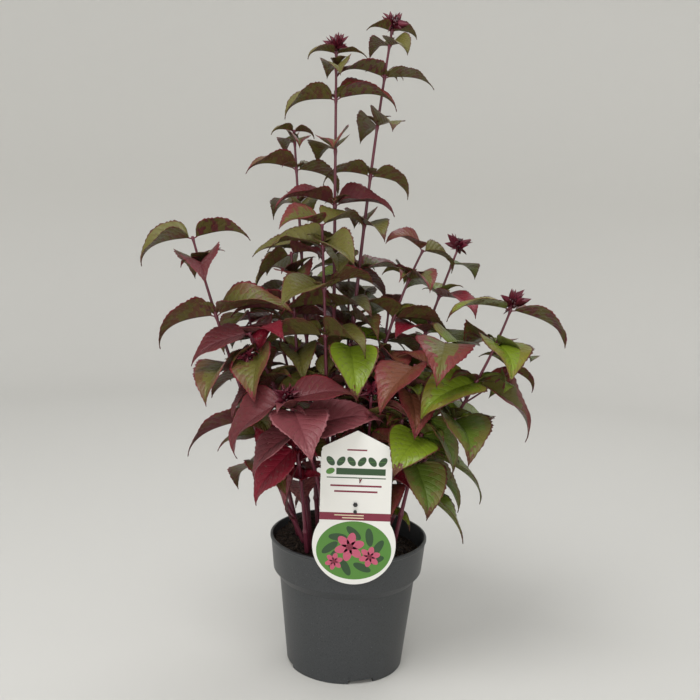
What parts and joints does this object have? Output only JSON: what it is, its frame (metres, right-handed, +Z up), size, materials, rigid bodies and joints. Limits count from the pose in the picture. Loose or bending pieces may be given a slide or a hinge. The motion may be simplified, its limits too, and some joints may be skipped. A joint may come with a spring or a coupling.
{
  "type": "potted shrub",
  "caption": "Young Himalayan honeysuckle in a round plastic nursery pot, upright red canes with opposite drooping leaves, dark flower heads and a card label on a stake.",
  "frame": {"origin": "centre of the pot's flat underside", "axes": "+Z up, +X to the right and -Y to the front, where the label hangs"},
  "size_m": [0.4407, 0.3111, 0.708],
  "materials": {
    "pot_plastic": "matt charcoal polypropylene with fine specks",
    "compost": "moist dark peat and bark compost",
    "label_card": "smooth white printed card",
    "label_stake": "black moulded plastic",
    "cane_bark": "smooth maroon young bark",
    "foliage": "soft satin leaves, maroon, red, olive and green"
  },
  "bodies": {
    "root": {"pot": "pot_plastic", "compost": "compost", "label_card": "label_card", "label_stake": "label_stake", "cane_tall_right": "cane_bark", "cane_tall_centre": "cane_bark", "cane_tall_left": "cane_bark", "cane_inner_left": "cane_bark", "cane_front_centre": "cane_bark", "cane_far_left": "cane_bark", "cane_left_inner": "cane_bark", "cane_far_right": "cane_bark", "cane_inner_right": "cane_bark", "cane_rear_right": "cane_bark", "cane_front_left": "cane_bark", "cane_low_left": "cane_bark", "cane_centre": "cane_bark", "cane_front_right": "cane_bark", "cane_right_inner": "cane_bark", "cane_low_right": "cane_bark", "cane_mid_right": "cane_bark", "cane_low_front_right": "cane_bark", "cane_mid_left": "cane_bark", "cane_centre_back": "cane_bark", "cane_rear_left": "cane_bark", "cane_rear_centre": "cane_bark", "cane_rear_far_right": "cane_bark", "cane_rear_low": "cane_bark", "foliage_tall_right": "foliage", "foliage_tall_centre": "foliage", "foliage_tall_left": "foliage", "foliage_inner_left": "foliage", "foliage_front_centre": "foliage", "foliage_far_left": "foliage", "foliage_left_inner": "foliage", "foliage_far_right": "foliage", "foliage_inner_right": "foliage", "foliage_rear_right": "foliage", "foliage_front_left": "foliage", "foliage_low_left": "foliage", "foliage_centre": "foliage", "foliage_front_right": "foliage", "foliage_right_inner": "foliage", "foliage_low_right": "foliage", "foliage_mid_right": "foliage", "foliage_low_front_right": "foliage", "foliage_mid_left": "foliage", "foliage_centre_back": "foliage", "foliage_rear_left": "foliage", "foliage_rear_centre": "foliage", "foliage_rear_far_right": "foliage", "foliage_rear_low": "foliage"}
  },
  "joints": []
}
